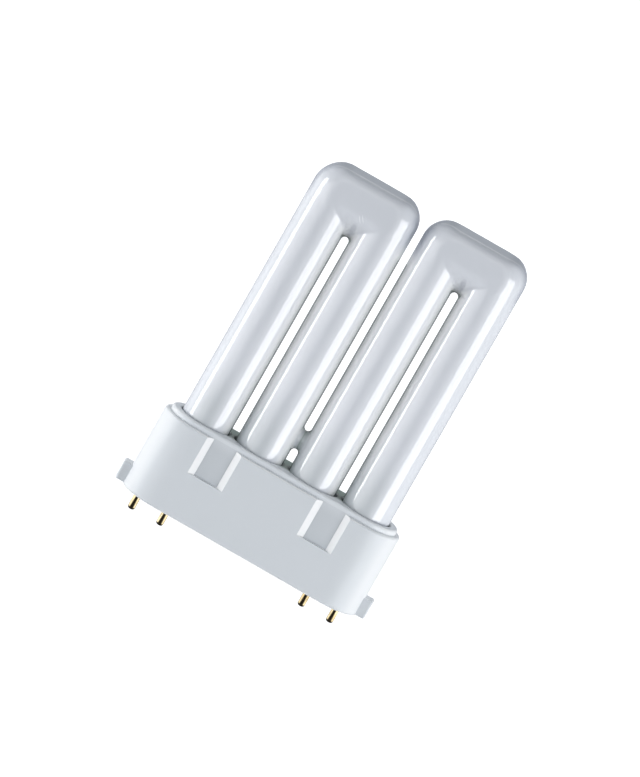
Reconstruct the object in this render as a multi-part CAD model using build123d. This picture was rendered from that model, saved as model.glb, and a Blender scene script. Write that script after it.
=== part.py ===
from build123d import *
import os

# A flat compact fluorescent lamp: two U-shaped glass tubes side by side, joined by a short bridge,
# standing in a moulded plug-in base with four contact pins in one row.
# Millimetres. The origin is the middle of the base's underside, the face that seats on the lampholder.
# X runs along the row of legs, Y from the front to the back, Z up along the legs.

# Glass tube
leg_od = 15.7
leg_slot = 2.35              # between the two legs of one U
u_gap = 2.25                 # between the two U tubes
left_head_top = 115.7        # each U is blown by itself, so the two heads differ a little
right_head_top = 116.2
left_web = 18.9              # glass above the slot, up to the top of the head
right_web = 17.6
valley_rise = 14.4           # valley between the legs, front and back, above the middle of the bend
head_corner = 6.8            # corner of a head, seen from the front
left_shoulder = 8.0          # outer corner of the left head, rounder than the other three
head_edge = 3.0              # rounding along the top edge of a head
head_draft = 0.3             # how far the corner's arc starts outside the leg, so that it meets it at an angle
bridge_od = 6.3
bridge_rise = 9.1            # bridge axis above the collar
bridge_flare = 0.9           # fillet where the bridge joins a leg
foot_rise = 3.0              # round end of an inner leg above the holder's foot
foot_round = 5.5
seal_width = 13.0            # flattened pinch seal that closes an outer leg
seal_thickness = 3.2
seal_taper = 4.5             # height over which the leg flattens into the seal
seal_length = 3.0
seal_drop = 0.6              # underside of a seal below the holder's foot

# Tube holder, the moulded plug that the legs are cemented into
bore_gap = 0.45              # between a leg and its bore
bore_shift = 0.3             # bores of the inner legs, outwards of the legs, which the bridge draws together
side_wall = 1.55             # beside the bores, front and back
end_wall = 2.65              # beyond the outer bores
collar_rise = 1.7            # rim of the holder above the housing
collar_round = 0.8
bore_chamfer = 0.3
core_diameter = 3.0          # moulding cores between the bores
core_wall = 1.5              # left between a core and the outside
core_roof = 2.0              # left above a core
cement_depth = 2.0           # top of the cement below the collar
cement_length = 8.0

# Base housing
housing_height = 26.7
housing_wall = 1.5           # round the holder
fit_gap = 0.1                # between the holder and the housing
seat_height = 12.0           # ledge that carries the holder
seat_ledge = 1.3
floor_thickness = 2.0
rim_round = 0.8
foot_edge = 0.6
notch_pitch = 36.9           # between the two notches on one side
notch_width = 7.3            # at the holder
notch_bevel = 2.0            # each sloping side, seen from the front
notch_height = 12.4          # down from the rim
lug_reach = 2.7              # beyond the end of the housing
lug_width = 6.0
lug_bottom = 0.5
lug_height = 5.8
lug_round = 0.7
boss_diameter = 5.6
boss_height = 1.0

# Contact pins and lead wires
pin_diameter = 2.3
pin_length = 6.0             # below the base
pin_tip = 0.8                # rounding of the tip
pin_root = 2.9               # inside the floor, thicker than the free end
pin_pitch = 9.6              # within a pair
pin_offset = 1.8             # middle of a pair outwards of the outer leg
pin_gap = 0.05               # between a pin's root and its hole
pin_flange = 4.2
pin_flange_thickness = 0.8
barrel_diameter = 1.9
barrel_length = 2.6          # above the flange
wire_diameter = 0.6
wire_gap = 0.05              # between a wire and its hole
wire_pitch = 5.2             # between the two wires of a seal
wire_depth = 2.0             # into the barrel
wire_straight = 1.3          # below the seal, and above the barrel
wire_bend = 0.9

# Worked out from the values above
leg_radius = leg_od / 2
leg_pitch = leg_od + leg_slot
slot_radius = leg_slot / 2
valley_stretch = valley_rise / (leg_pitch / 2)
slot_crown = slot_radius * valley_stretch  # top of a slot above the middle of the bend
u_pitch = leg_pitch + leg_od + u_gap
outer_leg_x = (u_pitch + leg_pitch) / 2
inner_leg_x = (u_pitch - leg_pitch) / 2
leg_places = (-outer_leg_x, -inner_leg_x, inner_leg_x, outer_leg_x)
inner_bore_x = inner_leg_x + bore_shift
bore_places = (-outer_leg_x, -inner_bore_x, inner_bore_x, outer_leg_x)
collar_top = housing_height + collar_rise
bridge_z = collar_top + bridge_rise
bore_radius = leg_radius + bore_gap
holder_width = 2 * (bore_radius + side_wall)
holder_length = 2 * (outer_leg_x + bore_radius + end_wall)
cavity_width = holder_width + 2 * fit_gap
cavity_length = holder_length + 2 * fit_gap
housing_width = cavity_width + 2 * housing_wall
housing_length = cavity_length + 2 * housing_wall
foot_z = seat_height + foot_rise
seal_foot = seat_height - seal_drop
seal_top = seal_foot + seal_length
taper_top = seal_top + seal_taper
pin_pair_x = outer_leg_x + pin_offset
row_order = ((-1, 1), (-1, -1), (1, -1), (1, 1))  # end of the base, and which side of its pair
pin_places = [end * (pin_pair_x + part * pin_pitch / 2) for end, part in row_order]
wire_places = [end * (outer_leg_x + part * wire_pitch / 2) for end, part in row_order]
flange_z = floor_thickness + boss_height
barrel_z = flange_z + pin_flange_thickness
barrel_top = barrel_z + barrel_length


def stadium(length, width, bottom, height):
    """A block with full round ends, its underside at the given height."""
    return Pos(0, 0, bottom) * extrude(SlotOverall(length, width), height)


def upright(radius, x, bottom, top, y=0):
    """A plain cylinder along Z between two heights."""
    return Pos(x, y, bottom) * extrude(Circle(radius), top - bottom)


def head(middle_x, bend_z, top, left_corner, right_corner):
    """The squared head of one U above the middle of its bend, without the saddle over the slot."""
    length = leg_pitch + leg_od
    block = extrude(SlotOverall(length, leg_od), top - bend_z)
    # the outline reaches as far below the bend as above it, so that its lower corners cut nothing
    outline = Rectangle(length + 2 * head_draft, 2 * (top - bend_z))
    outline = fillet(outline.vertices().group_by(Axis.X)[0], left_corner)
    outline = fillet(outline.vertices().group_by(Axis.X)[-1], right_corner)
    block &= extrude(Plane.XZ * outline, leg_od, both=True)
    crown = [face for face in block.faces() if face.normal_at().Z > 0.1]
    crown_edges = [edge for face in crown for edge in face.edges()]
    rim = [edge for edge in crown_edges if sum(edge.is_same(other) for other in crown_edges) == 1]
    block = fillet(rim, head_edge)
    tunnel = Plane.XZ * Ellipse(leg_pitch / 2, valley_rise)
    block -= extrude(tunnel, leg_od, both=True)
    return Pos(middle_x, 0, bend_z) * block


def saddle(middle_x, bend_z):
    """The inner half of the bend, swept over the slot from leg to leg and drawn up to a long valley."""
    inner_half = Circle(leg_radius) & Pos(-leg_radius, 0) * Rectangle(2 * leg_radius, 2 * leg_od)
    half_ring = revolve(Pos(leg_pitch / 2, 0) * inner_half, Axis((0, 0, 0), (0, -1, 0)), 180)
    return Pos(middle_x, 0, bend_z) * scale(half_ring, by=(1, 1, valley_stretch))


def inner_leg(x, bend_z):
    """A leg with a round closed end inside the holder."""
    leg = upright(leg_radius, x, foot_z, bend_z)
    return fillet(leg.faces().sort_by(Axis.Z)[0].edges(), foot_round)


def outer_leg(x, bend_z):
    """A leg whose end is flattened into the pinch seal that holds its two lead wires."""
    blade = Pos(x, 0, seal_foot) * extrude(SlotOverall(seal_width, seal_thickness), seal_length)
    flat = Pos(x, 0, seal_top) * SlotOverall(seal_width, seal_thickness)
    round_end = Pos(x, 0, taper_top) * Circle(leg_radius)
    return blade + loft([flat, round_end]) + upright(leg_radius, x, taper_top, bend_z)


def discharge_tube():
    """Both U tubes and the bridge that joins their inner legs, blown and fused as one glass body."""
    glass = Part()
    left_u = (-1, left_head_top, left_web, left_shoulder)
    right_u = (1, right_head_top, right_web, head_corner)
    for side, top, web, left_corner in (left_u, right_u):
        middle_x = side * u_pitch / 2
        bend_z = top - web - slot_crown
        glass += inner_leg(side * inner_leg_x, bend_z)
        glass += outer_leg(side * outer_leg_x, bend_z)
        glass += saddle(middle_x, bend_z)
        glass += head(middle_x, bend_z, top, left_corner, head_corner)
    neck = Plane.YZ * Pos(0, bridge_z) * Circle(bridge_od / 2)
    glass += extrude(neck, inner_leg_x, both=True)
    near = glass.edges().filter_by_position(Axis.Z, bridge_z - bridge_od, bridge_z + bridge_od)
    return fillet(near.filter_by(GeomType.BSPLINE), bridge_flare)


def tube_holder():
    """The plug that stands in the housing and takes the four legs."""
    body = stadium(holder_length, holder_width, seat_height, collar_top - seat_height)
    body = fillet(body.faces().sort_by(Axis.Z)[-1].edges(), collar_round)
    for x in bore_places:
        body -= upright(bore_radius, x, seat_height, collar_top)
    mouths = body.edges().filter_by(GeomType.CIRCLE).filter_by_position(Axis.Z, collar_top, collar_top)
    body = chamfer([edge for edge in mouths if abs(edge.radius - bore_radius) < bore_gap], bore_chamfer)
    core_y = holder_width / 2 - core_wall - core_diameter / 2
    for left, right in zip(bore_places, bore_places[1:]):
        for y in (-core_y, core_y):
            body -= upright(core_diameter / 2, (left + right) / 2, seat_height, collar_top - core_roof, y)
    return body


def cement(leg_x, bore_x):
    """The ring of cement between a leg and its bore."""
    top = collar_top - cement_depth
    ring = upright(bore_radius, bore_x, top - cement_length, top)
    return ring - upright(leg_radius, leg_x, top - cement_length, top)


def lug(side):
    """The latch lug at one end of the housing."""
    outer = housing_length / 2 + lug_reach
    inner = cavity_length / 2
    block = Pos((outer + inner) / 2, 0, lug_bottom + lug_height / 2) * Box(outer - inner, lug_width, lug_height)
    block = fillet(block.faces().sort_by(Axis.X)[-1].edges(), lug_round)
    return block.rotate(Axis.Z, 180) if side < 0 else block


def notch(x, side):
    """A notch through the housing's wall, open at the rim, with both sides sloping outwards."""
    inside = cavity_width / 2 - fit_gap
    depth = housing_width / 2 - inside
    slope = notch_bevel / housing_wall
    mouth = notch_width / 2 + slope * depth
    bottom = housing_height - notch_height
    shape = Polygon((-notch_width / 2, 0), (notch_width / 2, 0), (mouth, depth), (-mouth, depth), align=None)
    cutter = Pos(x, inside, bottom) * extrude(shape, notch_height)
    return cutter if side > 0 else cutter.mirror(Plane.XZ)


def base_housing():
    """The moulded cup with its ledge, pin floor, notches and end lugs."""
    body = stadium(housing_length, housing_width, 0, housing_height)
    body = fillet(body.faces().sort_by(Axis.Z)[-1].edges(), rim_round)
    body = fillet(body.faces().sort_by(Axis.Z)[0].edges(), foot_edge)
    for side in (-1, 1):
        body += lug(side)
    body -= stadium(cavity_length, cavity_width, seat_height, housing_height)
    well_length = cavity_length - 2 * seat_ledge
    well_width = cavity_width - 2 * seat_ledge
    body -= stadium(well_length, well_width, floor_thickness, seat_height)
    for x in pin_places:
        body += upright(boss_diameter / 2, x, floor_thickness, flange_z)
        body -= upright(pin_root / 2 + pin_gap, x, 0, flange_z)
    for side in (-1, 1):
        for x in (-notch_pitch / 2, notch_pitch / 2):
            body -= notch(x, side)
    return body


def contact_pin(x):
    """A turned pin: domed free end, root in the floor, flange on the boss and a barrel for the lead wire."""
    free_end = upright(pin_diameter / 2, x, -pin_length, 0)
    pin = fillet(free_end.faces().sort_by(Axis.Z)[0].edges(), pin_tip)
    pin += upright(pin_root / 2, x, 0, flange_z)
    pin += upright(pin_flange / 2, x, flange_z, barrel_z)
    pin += upright(barrel_diameter / 2, x, barrel_z, barrel_top)
    return pin - upright(wire_diameter / 2 + wire_gap, x, barrel_top - wire_depth, barrel_top)


def lead_wire(seal_x, pin_x):
    """One wire from the pinch seal down into the barrel of its pin."""
    start = Vector(seal_x, 0, seal_foot)
    end = Vector(pin_x, 0, barrel_top - wire_depth)
    path = FilletPolyline(
        start,
        (seal_x, 0, seal_foot - wire_straight),
        (pin_x, 0, barrel_top + wire_straight),
        end,
        radius=wire_bend,
    )
    return sweep(Plane(start, z_dir=(0, 0, -1)) * Circle(wire_diameter / 2), path)


pieces = {
    "discharge_tube": discharge_tube(),
    "tube_holder": tube_holder(),
    "base_housing": base_housing(),
}
for number, (leg_x, bore_x) in enumerate(zip(leg_places, bore_places), 1):
    pieces[f"cement_{number}"] = cement(leg_x, bore_x)
for number, (pin_x, wire_x) in enumerate(zip(pin_places, wire_places), 1):
    pieces[f"contact_pin_{number}"] = contact_pin(pin_x)
    pieces[f"lead_wire_{number}"] = lead_wire(wire_x, pin_x)

os.makedirs("parts", exist_ok=True)
for name, shape in pieces.items():
    export_step(shape, f"parts/{name}.step")
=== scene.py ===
"""Dresses a flat compact fluorescent lamp for its studio picture.

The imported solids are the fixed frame. The coated glass, the contact pins, the cement and the lead
wires are made here from the same sizes. The two mouldings keep their solids and get a finish.
Lengths are in metres.
"""

import logging
import math
from dataclasses import dataclass, field, replace
from enum import Enum
from typing import Any, Callable, Sequence, Union

import bmesh
import bpy
import numpy as np
from mathutils import Matrix, Vector


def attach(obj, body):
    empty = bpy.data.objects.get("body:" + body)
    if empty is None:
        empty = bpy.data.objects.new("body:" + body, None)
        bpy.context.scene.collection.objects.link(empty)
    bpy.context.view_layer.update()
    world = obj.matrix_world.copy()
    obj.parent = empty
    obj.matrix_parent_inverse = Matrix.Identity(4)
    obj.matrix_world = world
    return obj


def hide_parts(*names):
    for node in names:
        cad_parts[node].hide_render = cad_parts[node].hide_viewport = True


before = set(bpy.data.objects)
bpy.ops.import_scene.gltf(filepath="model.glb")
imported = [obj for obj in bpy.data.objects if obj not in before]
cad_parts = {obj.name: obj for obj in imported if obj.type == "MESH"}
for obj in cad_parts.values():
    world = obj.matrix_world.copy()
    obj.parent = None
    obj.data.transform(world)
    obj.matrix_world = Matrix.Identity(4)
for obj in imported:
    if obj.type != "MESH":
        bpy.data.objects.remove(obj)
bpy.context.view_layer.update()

LOG = logging.getLogger("lamp")
MM = 0.001
BODY = "root"

Colour = tuple[float, float, float, float]
Span = tuple[float, float]
Triple = tuple[float, float, float]
Socket = bpy.types.NodeSocket

WHITE: Colour = (1.0, 1.0, 1.0, 1.0)
BLACK: Colour = (0.0, 0.0, 0.0, 1.0)


class Slot(Enum):
    """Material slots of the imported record."""

    GLASS = "coated_glass"
    PLASTIC = "base_plastic"
    CEMENT = "cement"
    BRASS = "pin_brass"
    WIRE = "wire_metal"


# Node trees


def arithmetic(operation: str, swapped: bool = False) -> Callable[["Field", "Number"], "Field"]:
    """Makes one of Field's operators.

    Args:
        operation: Blender's name for the operation.
        swapped: Whether the field is the second number.

    Returns:
        The operator.
    """
    def operator(self: "Field", other: "Number") -> "Field":
        """Adds one Math node."""
        return self.graph.math(operation, *((other, self) if swapped else (self, other)))

    return operator


class Field:
    """A number that varies over a mesh. Arithmetic on it adds Math nodes to its tree."""

    def __init__(self, graph: "GeometryGraph", socket: Socket) -> None:
        """Wraps a socket.

        Args:
            graph: The tree that the socket is in.
            socket: An output of one of its nodes.
        """
        self.graph = graph
        self.socket = socket

    __add__, __radd__ = arithmetic("ADD"), arithmetic("ADD", swapped=True)
    __sub__, __rsub__ = arithmetic("SUBTRACT"), arithmetic("SUBTRACT", swapped=True)
    __mul__, __rmul__ = arithmetic("MULTIPLY"), arithmetic("MULTIPLY", swapped=True)
    __truediv__, __rtruediv__ = arithmetic("DIVIDE"), arithmetic("DIVIDE", swapped=True)


Number = Union[Field, float]


class NodeGraph:
    """Adds nodes to a tree, and links them."""

    def __init__(self, tree: bpy.types.NodeTree) -> None:
        """Starts on an empty tree.

        Args:
            tree: The node tree to fill. Its default nodes are removed.
        """
        self.tree = tree
        self.tree.nodes.clear()

    def add(self, kind: str, feeds: dict[Any, Any] | None = None, **settings: Any) -> bpy.types.Node:
        """Adds one node.

        Args:
            kind: Blender's name for the node type.
            feeds: Values, fields or sockets for its inputs, by input name or number.
            **settings: Attributes of the node.

        Returns:
            The new node.
        """
        node = self.tree.nodes.new(kind)
        for name, value in settings.items():
            setattr(node, name, value)
        for name, value in (feeds or {}).items():
            if isinstance(value, Field):
                value = value.socket
            if isinstance(value, Socket):
                self.tree.links.new(value, node.inputs[name])
            else:
                node.inputs[name].default_value = value
        return node

    def axes(self, vector: Socket) -> Any:
        """Splits a vector into outputs X, Y and Z."""
        return self.add("ShaderNodeSeparateXYZ", {0: vector}).outputs


class ShaderGraph(NodeGraph):
    """The nodes of a material, a world or a shader group."""

    def blend(self, factor: Any, first: Any, second: Any) -> Socket:
        """Mixes two colours.

        Args:
            factor: Share of the second colour.
            first: Colour or socket.
            second: Colour or socket.

        Returns:
            The mixed colour.
        """
        return self.add("ShaderNodeMix", {0: factor, 6: first, 7: second}, data_type="RGBA").outputs[2]

    def layers(self, tone: Socket, *coats: tuple[Socket, Colour]) -> Socket:
        """Lays colours over a colour, one after the other.

        Args:
            tone: The lowest colour.
            *coats: Mask and colour of each layer.

        Returns:
            The layered colour.
        """
        for mask, colour in coats:
            tone = self.blend(mask, tone, colour)
        return tone

    def mix(self, factor: Socket, first: Any, second: Any) -> Socket:
        """Mixes two numbers, given the share of the second."""
        return self.add("ShaderNodeMix", {0: factor, 2: first, 3: second}).outputs[0]

    def spread(self, value: Socket, low: Any, high: Any, span: Span) -> Socket:
        """Maps a value to low..high with soft ends.

        Args:
            value: The socket to map.
            low: Result at the start of the span.
            high: Result at its end.
            span: Where the ramp starts and ends.

        Returns:
            The mapped value.
        """
        feeds = {"Value": value, "From Min": span[0], "From Max": span[1], "To Min": low, "To Max": high}
        return self.add("ShaderNodeMapRange", feeds, interpolation_type="SMOOTHSTEP").outputs["Result"]

    def fade_in(self, value: Socket, span: Span) -> Socket:
        """Maps a value to a mask that goes from 0 to 1 over a span."""
        return self.spread(value, 0.0, 1.0, span)

    def fade_out(self, value: Socket, span: Span) -> Socket:
        """Maps a value to a mask that goes from 1 to 0 over a span."""
        return self.spread(value, 1.0, 0.0, span)

    def math(self, operation: str, *values: Any) -> Socket:
        """Adds one Math node.

        Args:
            operation: Blender's name for the operation.
            *values: One to three sockets or numbers.

        Returns:
            The result.
        """
        return self.add("ShaderNodeMath", dict(enumerate(values)), operation=operation).outputs[0]

    def below(self, value: Socket, limit: float) -> Socket:
        """Marks where a value is less than a limit."""
        return self.math("LESS_THAN", value, limit)

    def above(self, value: Socket, limit: float) -> Socket:
        """Marks where a value is more than a limit."""
        return self.math("GREATER_THAN", value, limit)

    def distance(self, value: Socket, other: float = 0.0) -> Socket:
        """Finds how far a value is from another, on either side."""
        return self.math("ABSOLUTE", self.math("SUBTRACT", value, other) if other else value)

    def length(self, first: Socket, second: Socket) -> Socket:
        """Finds the length of a line from its two sides."""
        square = self.math("MULTIPLY_ADD", first, first, self.math("MULTIPLY", second, second))
        return self.math("SQRT", square)

    def all_of(self, first: Any, *others: Any) -> Socket:
        """Multiplies masks, so that the result is where all of them are."""
        for other in others:
            first = self.math("MULTIPLY", first, other)
        return first

    def any_of(self, first: Socket, *others: Any) -> Socket:
        """Takes the strongest of several masks."""
        for other in others:
            first = self.math("MAXIMUM", first, other)
        return first

    def turned(self, facing: Any) -> Socket:
        """Finds how far a surface is turned away from the front and the back, from its normal's axes."""
        return self.math("SUBTRACT", 1.0, self.distance(facing["Y"]))

    def noise(self, place: Socket, scale: Any, detail: float = 2.0, roughness: float = 0.5) -> Socket:
        """Adds noise.

        Args:
            place: Place in the noise.
            scale: How fine it is.
            detail: Layers of finer noise.
            roughness: Strength of those layers.

        Returns:
            The noise, about 0.5.
        """
        return self.add("ShaderNodeTexNoise", {
            "Vector": place, "Scale": scale, "Detail": detail, "Roughness": roughness}).outputs["Fac"]

    def stretch(self, place: Socket, factors: Any) -> Socket:
        """Multiplies a place by a factor for each axis."""
        return self.add("ShaderNodeVectorMath", {0: place, 1: factors}, operation="MULTIPLY").outputs[0]

    def bump(self, height: Socket, distance: float, under: Socket | None = None) -> Socket:
        """Adds a bump.

        Args:
            height: Height of the surface, from 0 to 1.
            distance: What a height of 1 measures.
            under: Normal of a bump below this one.

        Returns:
            The bumped normal.
        """
        feeds = {"Height": height, "Distance": distance, "Strength": 1.0}
        if under is not None:
            feeds["Normal"] = under
        return self.add("ShaderNodeBump", feeds).outputs["Normal"]

    def show(self, kind: str, feeds: dict[Any, Any]) -> None:
        """Adds the last shader of a material, and links it to the material's output.

        Args:
            kind: Blender's name for the shader.
            feeds: Values or sockets for its inputs.
        """
        self.add("ShaderNodeOutputMaterial", {"Surface": self.add(kind, feeds).outputs[0]})


def new_material(name: str) -> tuple[bpy.types.Material, ShaderGraph]:
    """Makes an empty material.

    Args:
        name: Name of the material.

    Returns:
        The material and its graph.
    """
    material = bpy.data.materials.new(name)
    material.use_nodes = True
    return material, ShaderGraph(material.node_tree)


# Effects that finishes share


class SharedEffects:
    """Shader node groups that more than one finish uses, each built once."""

    PATCH_SPAN: Span = (0.3, 0.7)
    LINE_SPAN: Span = (0.35, 0.65)

    def __init__(self) -> None:
        """Builds both groups."""
        self.mottle = self._mottle()
        self.lines = self._lines()

    @staticmethod
    def _group(name: str, inputs: dict[str, str], outputs: dict[str, str]) -> tuple[ShaderGraph, Any, Socket]:
        """Starts a shader group with named sockets.

        Args:
            name: Name of the group.
            inputs: Socket type of each input, by name.
            outputs: Socket type of each output, by name.

        Returns:
            The group's graph, its inputs, and the place on the object.
        """
        tree = bpy.data.node_groups.new(name, "ShaderNodeTree")
        for side, sockets in (("INPUT", inputs), ("OUTPUT", outputs)):
            for socket, kind in sockets.items():
                tree.interface.new_socket(socket, in_out=side, socket_type=kind)
        graph = ShaderGraph(tree)
        return graph, graph.add("NodeGroupInput").outputs, graph.add("ShaderNodeTexCoord").outputs["Object"]

    def _mottle(self) -> bpy.types.NodeTree:
        """Builds the uneven tone and gloss of a moulded, cast or coated surface.

        Returns:
            A group with colour, roughness and height.
        """
        number, colour = "NodeSocketFloat", "NodeSocketColor"
        graph, given, place = self._group(
            "uneven_surface",
            {"Light Tone": colour, "Dark Tone": colour, "Patch Scale": number, "Grain Scale": number,
             "Smooth": number, "Rough": number},
            {"Color": colour, "Roughness": number, "Height": number},
        )
        patches = graph.noise(place, given["Patch Scale"], detail=3.0)
        grain = graph.noise(place, given["Grain Scale"], roughness=0.6)
        tone = graph.blend(graph.fade_in(patches, self.PATCH_SPAN), given["Light Tone"], given["Dark Tone"])
        rough = graph.spread(patches, given["Smooth"], given["Rough"], self.PATCH_SPAN)
        graph.add("NodeGroupOutput", {"Color": tone, "Roughness": rough, "Height": grain})
        return graph.tree

    def _lines(self) -> bpy.types.NodeTree:
        """Builds the fine lines that turning or drawing leaves on metal.

        Returns:
            A group with a line mask and a height.
        """
        number, vector = "NodeSocketFloat", "NodeSocketVector"
        graph, given, place = self._group(
            "tool_lines", {"Stretch": vector, "Scale": number}, {"Mask": number, "Height": number})
        lines = graph.noise(graph.stretch(place, given["Stretch"]), given["Scale"])
        graph.add("NodeGroupOutput", {"Mask": graph.fade_in(lines, self.LINE_SPAN), "Height": lines})
        return graph.tree


@dataclass(frozen=True)
class Mottle:
    """How uneven a surface is in tone, gloss and height."""

    light: Colour
    dark: Colour
    patch_scale: float
    grain_scale: float
    smooth: float
    rough: float

    def add(self, graph: ShaderGraph, effects: SharedEffects) -> Any:
        """Adds the shared group with these settings.

        Args:
            graph: The material's graph.
            effects: The shared node groups.

        Returns:
            The group's outputs: Color, Roughness and Height.
        """
        return graph.add("ShaderNodeGroup", {
            "Light Tone": self.light, "Dark Tone": self.dark, "Patch Scale": self.patch_scale,
            "Grain Scale": self.grain_scale, "Smooth": self.smooth, "Rough": self.rough,
        }, node_tree=effects.mottle).outputs


# Finishes


@dataclass(frozen=True)
class Finish:
    """What every finish has: a name, its record slot, and how uneven it is."""

    name: str
    slot: Slot
    mottle: Mottle


@dataclass(frozen=True)
class CoatedGlass(Finish):
    """Clear glass over a white powder coating: dull white below, a sharp gloss on top.

    Pairs of numbers are the two ends of a fade, unless their name says another thing. A turn is 0 where
    the glass faces the front or the back, and 1 where it faces a side, the top or the bottom.
    """

    name: str = "coated_glass"
    slot: Slot = Slot.GLASS
    mottle: Mottle = Mottle((0.77, 0.80, 0.85, 1.0), (0.75, 0.78, 0.83, 1.0),
                            patch_scale=45.0, grain_scale=70.0, smooth=0.5, rough=0.6)
    ripple_height: float = 0.01 * MM
    powder_gloss: float = 0.1
    glass_ior: float = 1.6
    gloss_roughness: float = 0.05
    slot_x: float = 18.0 * MM
    slots_end: float = 26.5 * MM
    slots_top: float = 99.0 * MM
    # Painted shade: dark lines along the slot walls, round the slot tops and on the neck's lips, where the
    # legs shade each other.
    edge_shade_tone: Colour = (0.17, 0.215, 0.195, 1.0)
    wall_turn: Span = (0.64, 0.78)
    # Painted sheen: the glass is lighter where it turns towards a side.
    painted_sheen: Colour = (0.955, 0.97, 0.98, 1.0)
    painted_sheen_turn: Span = (0.12, 0.5)
    painted_sheen_top: Span = (99.0 * MM, 106.0 * MM)
    # Painted shade: greyer glass towards the feet, on the fronts and left flanks.
    foot_shade_tone: Colour = (0.65, 0.69, 0.72, 1.0)
    foot_rise: Span = (31.0 * MM, 52.0 * MM)
    foot_reach: Span = (29.5 * MM, 33.5 * MM)
    foot_turn: Span = (0.05, 0.5)
    rim_tops: Span = (96.8 * MM, 98.6 * MM)
    rim_change: Span = (-0.1 * MM, 0.1 * MM)
    # Painted shade round the top of each slot.
    rim_reach: float = 1.7 * MM
    rim_fade: Span = (0.1 * MM, 0.75 * MM)
    rim_below: Span = (-1.0 * MM, -0.3 * MM)
    rim_share: float = 0.7
    mark_reach: Span = (1.0 * MM, 4.5 * MM)
    mark_start: Span = (0.3 * MM, 1.2 * MM)
    mark_end: Span = (3.0 * MM, 10.0 * MM)
    mark_scale: float = 900.0
    mark_stretch: Triple = (1.0, 1.0, 0.35)
    mark_height: float = 0.6 * MM
    # Painted glints: pale strokes on the left front above the slot.
    glint_tone: Colour = (0.94, 0.965, 1.0, 1.0)
    glint_spot: Span = (1.2 * MM, 8.2 * MM)
    glint_reach: Span = (1.7 * MM, 1.7 * MM)
    glint_way: Span = (0.83, 0.55)
    glint_pitch: float = 0.95 * MM
    glint_edge: Span = (0.45, 0.95)
    # Painted shade: a darker patch in the hollow above each slot.
    hollow_shade_tone: Colour = (0.58, 0.61, 0.67, 1.0)
    hollow_shade_spot: Span = (0.5 * MM, 3.6 * MM)
    hollow_shade_reach: Span = (1.2 * MM, 3.4 * MM)
    hollow_shade_share: float = 0.6
    patch_fade: Span = (0.4, 1.0)
    # Painted shade round the heads' corners and crowns, which also stands for thick clear glass there.
    crown_shade_tone: Colour = (0.44, 0.47, 0.54, 1.0)
    corner_reach: Span = (7.0 * MM, 12.0 * MM)
    corner_rise: Span = (101.0 * MM, 108.0 * MM)
    corner_turn: Span = (0.32, 0.75)
    corner_lines: float = 48.0
    corner_swing: float = 0.12
    # Painted shade on the neck: darker to the right and along the pinch line, in a greenish tone.
    neck_shade_tone: Colour = (0.30, 0.37, 0.34, 1.0)
    neck_span: Span = (33.5 * MM, 41.5 * MM)
    neck_line: float = 0.3 * MM
    neck_line_share: float = 0.45
    neck_reach: float = 1.9 * MM
    neck_shade: Span = (0.1, 0.5)
    # Painted shade on the neck's lips.
    lip_reach: float = 1.1 * MM
    lip_turn: Span = (0.5, 0.8)

    def material(self, effects: SharedEffects) -> bpy.types.Material:
        """Builds the glass.

        Args:
            effects: The shared node groups.

        Returns:
            The material.
        """
        material, graph = new_material(self.name)
        uneven = self.mottle.add(graph, effects)
        where = graph.add("ShaderNodeTexCoord").outputs
        place, facing = graph.axes(where["Object"]), graph.axes(where["Normal"])
        turn = graph.turned(facing)
        across = graph.distance(place["X"])
        off = graph.distance(across, self.slot_x)
        rise = graph.math("SUBTRACT", place["Z"], graph.spread(place["X"], *self.rim_tops, self.rim_change))
        within = graph.below(across, self.slots_end)

        # Painted sheen on the glass that turns towards a side, between the outer legs and below the heads.
        painted_sheen = graph.all_of(within, graph.fade_in(turn, self.painted_sheen_turn),
                            graph.fade_out(place["Z"], self.painted_sheen_top))
        # Painted shade towards the feet, on the fronts and the left flanks.
        feet = graph.all_of(graph.fade_out(place["Z"], self.foot_rise),
                            graph.fade_out(facing["X"], self.foot_turn),
                            graph.fade_out(across, self.foot_reach))
        # Painted shade round the heads' corners and crowns.
        corners = self._painted_crown_shade(graph, off, place["Z"], turn)
        # Painted shade on the neck and on its lips.
        neck, lips = self._neck(graph, place, across, turn)
        # Painted glints of pale strokes, and painted shade in the hollow above each slot.
        painted_glints, hollow_shade = self._glints_and_hollow_shade(graph, place, rise)
        # Painted shade: dark lines on the slot walls and round the slot tops.
        walls = graph.all_of(within, graph.below(place["Z"], self.slots_top),
                             graph.fade_in(turn, self.wall_turn))
        slot_top_shade = graph.all_of(graph.below(off, self.rim_reach), self.rim_share,
                            graph.fade_out(rise, self.rim_fade), graph.fade_in(rise, self.rim_below))
        tone = graph.layers(
            uneven["Color"], (painted_sheen, self.painted_sheen), (feet, self.foot_shade_tone), (corners, self.crown_shade_tone),
            (neck, self.neck_shade_tone), (hollow_shade, self.hollow_shade_tone), (painted_glints, self.glint_tone),
            (graph.any_of(walls, slot_top_shade, lips), self.edge_shade_tone))

        ripple = graph.bump(uneven["Height"], self.ripple_height)
        marks = self._press_marks(graph, where["Object"], off, rise)
        graph.show("ShaderNodeBsdfPrincipled", {
            "Base Color": tone, "Roughness": uneven["Roughness"], "Specular IOR Level": self.powder_gloss,
            "Coat Weight": 1.0, "Coat Roughness": self.gloss_roughness, "Coat IOR": self.glass_ior,
            "Normal": graph.bump(marks, self.mark_height, ripple)})
        return material

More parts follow.
